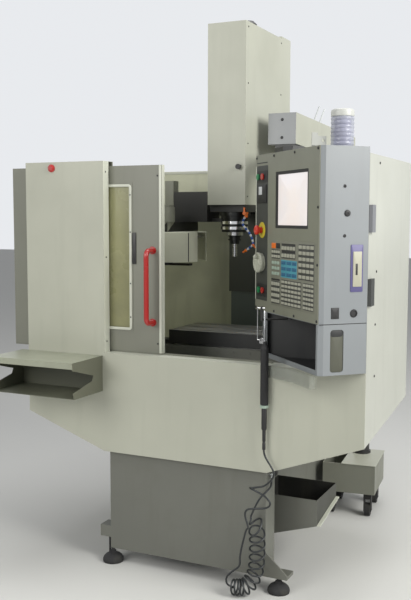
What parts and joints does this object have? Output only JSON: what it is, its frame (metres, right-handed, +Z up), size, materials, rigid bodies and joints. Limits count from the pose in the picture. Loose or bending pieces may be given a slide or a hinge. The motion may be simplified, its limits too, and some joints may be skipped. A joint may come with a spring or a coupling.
{
  "type": "cnc machining center",
  "caption": "Compact vertical machining centre: sheet-metal enclosure with a sliding door, corner control pendant, moving table, travelling spindle head and umbrella tool changer.",
  "frame": {"origin": "on the floor below the middle of the front panel's outer face", "axes": "+X to the right seen from the front, +Y from the front panel back into the machine, +Z up"},
  "size_m": [1.701, 1.878, 2.45],
  "materials": {
    "cast_grey": "grey paint on castings",
    "machined_steel": "ground and machined",
    "table_iron": "machined face",
    "cream_sheet": "cream paint, slightly marked",
    "grey_sheet": "grey paint",
    "pendant_grey": "light grey paint",
    "black_steel": "black paint",
    "black_plastic": "fine grain",
    "red_plastic": "moulded",
    "green_plastic": "moulded",
    "cream_plastic": "moulded",
    "key_film": "embossed membrane",
    "red_tube": "red paint",
    "window_sheet": "tinted clear sheet",
    "screen_glass": "lit display",
    "tray_plastic": "clear moulded",
    "beacon_plastic": "ribbed lens",
    "belt_rubber": "toothed belt",
    "hose_plastic": "smooth tube",
    "nozzle_plastic": "moulded",
    "bright_chrome": "polished"
  },
  "bodies": {
    "machine": {"base_casting": "cast_grey", "levelling_feet": "black_steel", "column_casting": "cast_grey", "guide_rails": "machined_steel", "chip_enclosure": "cream_sheet", "side_walls": "cream_sheet", "rear_wall": "cream_sheet", "left_front_panel": "cream_sheet", "door_tracks": "grey_sheet", "pendant_housing": "pendant_grey", "pendant_face": "pendant_grey", "screen": "screen_glass", "keypad": "key_film", "storage_box": "pendant_grey", "box_tray": "tray_plastic", "cable_beam": "cream_sheet", "pendant_brackets": "black_steel", "beacon": "beacon_plastic", "fixed_way_covers": "grey_sheet", "changer_mount": "black_steel", "control_cabinet": "cream_sheet", "coolant_tank": "cream_sheet", "chip_chute": "grey_sheet", "side_shelf": "grey_sheet", "axis_motors": "black_steel", "air_gun": "black_plastic", "air_hose_lead": "hose_plastic", "air_hose_coil": "hose_plastic"},
    "cabinet_door": {"cabinet_door": "cream_sheet"},
    "disconnect": {"disconnect_handle": "red_plastic"},
    "door": {"door_panel": "grey_sheet", "door_window": "window_sheet", "door_handle": "red_tube"},
    "saddle": {"saddle": "cast_grey", "x_motor": "black_steel"},
    "table": {"table": "table_iron"},
    "head": {"head_casting": "cast_grey", "head_cover": "cream_sheet", "spindle_cartridge": "machined_steel", "spindle_motor": "black_steel", "drive_belt": "belt_rubber", "coolant_nozzle": "nozzle_plastic", "upper_way_cover": "grey_sheet"},
    "coolant_valve": {"coolant_valve_handle": "nozzle_plastic"},
    "spindle": {"spindle_shaft": "machined_steel", "tool_holder": "machined_steel"},
    "motor_rotor": {"motor_pulley": "machined_steel"},
    "x_screw": {"x_screw": "machined_steel"},
    "y_screw": {"y_screw": "machined_steel"},
    "z_screw": {"z_screw": "machined_steel"},
    "changer": {"changer_slide": "black_steel", "changer_cover": "cream_sheet"},
    "carousel": {"carousel_disc": "machined_steel"},
    "handwheel": {"handwheel": "cream_plastic"},
    "e_stop": {"e_stop_button": "red_plastic"},
    "power_on": {"power_on_button": "green_plastic"},
    "power_off": {"power_off_button": "red_plastic"},
    "cycle_start": {"cycle_start_button": "green_plastic"},
    "feed_hold": {"feed_hold_button": "red_plastic"},
    "air_lever": {"air_gun_trigger": "bright_chrome"}
  },
  "joints": [
    {"name": "door_slide", "type": "slide", "parent": "machine", "child": "door", "axis": [1, 0, 0], "range_m": [0, 0.49]},
    {"name": "y_axis", "type": "slide", "parent": "machine", "child": "saddle", "axis": [0, 1, 0], "range_m": [-0.118, 0.187]},
    {"name": "x_axis", "type": "slide", "parent": "saddle", "child": "table", "axis": [1, 0, 0], "range_m": [-0.406, 0]},
    {"name": "z_axis", "type": "slide", "parent": "machine", "child": "head", "axis": [0, 0, 1], "range_m": [-0.254, 0]},
    {"name": "spindle_spin", "type": "hinge", "parent": "head", "child": "spindle", "pos_m": [0, 0.554, 1.46], "axis": [0, 0, 1], "continuous": true},
    {"name": "motor_pulley_spin", "type": "hinge", "parent": "head", "child": "motor_rotor", "pos_m": [0, 0.76, 1.8], "axis": [0, 0, 1], "continuous": true},
    {"name": "x_screw_turn", "type": "hinge", "parent": "saddle", "child": "x_screw", "pos_m": [0, 0.52, 0.917], "axis": [1, 0, 0], "range_deg": [-14700, 100]},
    {"name": "y_screw_turn", "type": "hinge", "parent": "machine", "child": "y_screw", "pos_m": [0, 0.5, 0.79], "axis": [0, 1, 0], "range_deg": [-4300, 6800]},
    {"name": "z_screw_turn", "type": "hinge", "parent": "machine", "child": "z_screw", "pos_m": [0, 0.985, 1.5], "axis": [0, 0, 1], "range_deg": [-9200, 100]},
    {"name": "changer_shuttle", "type": "slide", "parent": "machine", "child": "changer", "axis": [1, 0, 0], "range_m": [0, 0.203]},
    {"name": "carousel_spin", "type": "hinge", "parent": "changer", "child": "carousel", "pos_m": [-0.368, 0.554, 1.4], "axis": [0, 0, 1], "continuous": true},
    {"name": "handwheel_turn", "type": "hinge", "parent": "machine", "child": "handwheel", "pos_m": [0.26474, 0.23617, 1.353], "axis": [-0.7071, -0.7071, 0], "continuous": true},
    {"name": "e_stop_press", "type": "slide", "parent": "machine", "child": "e_stop", "axis": [0.7071, 0.7071, 0], "range_m": [0, 0.006]},
    {"name": "power_on_press", "type": "slide", "parent": "machine", "child": "power_on", "axis": [0.7071, 0.7071, 0], "range_m": [0, 0.003], "stiffness_N_per_m": 600, "springref_m": -0.002},
    {"name": "power_off_press", "type": "slide", "parent": "machine", "child": "power_off", "axis": [0.7071, 0.7071, 0], "range_m": [0, 0.003], "stiffness_N_per_m": 600, "springref_m": -0.002},
    {"name": "cycle_start_press", "type": "slide", "parent": "machine", "child": "cycle_start", "axis": [0.7071, 0.7071, 0], "range_m": [0, 0.003], "stiffness_N_per_m": 600, "springref_m": -0.002},
    {"name": "feed_hold_press", "type": "slide", "parent": "machine", "child": "feed_hold", "axis": [0.7071, 0.7071, 0], "range_m": [0, 0.003], "stiffness_N_per_m": 600, "springref_m": -0.002},
    {"name": "coolant_valve_turn", "type": "hinge", "parent": "head", "child": "coolant_valve", "pos_m": [0.084, 0.5, 1.563], "axis": [0, 1, 0], "range_deg": [0, 90]},
    {"name": "cabinet_door_swing", "type": "hinge", "parent": "machine", "child": "cabinet_door", "pos_m": [-0.427, 1.597, 1], "axis": [0, 0, 1], "range_deg": [0, 110]},
    {"name": "disconnect_turn", "type": "hinge", "parent": "cabinet_door", "child": "disconnect", "pos_m": [0.36, 1.614, 1.3], "axis": [0, 1, 0], "range_deg": [0, 90]},
    {"name": "air_lever_squeeze", "type": "hinge", "parent": "machine", "child": "air_lever", "pos_m": [0.368, -0.022, 1.058], "axis": [0, 1, 0], "range_deg": [0, 3.5], "stiffness_Nm_per_rad": 2, "springref_deg": -5.73}
  ],
  "couplings": [
    {"joint": "motor_pulley_spin", "follows": "spindle_spin", "ratio": 1.1842},
    {"joint": "x_screw_turn", "follows": "x_axis", "rad_per_m": 628.32},
    {"joint": "y_screw_turn", "follows": "y_axis", "rad_per_m": 628.32},
    {"joint": "z_screw_turn", "follows": "z_axis", "rad_per_m": 628.32}
  ]
}
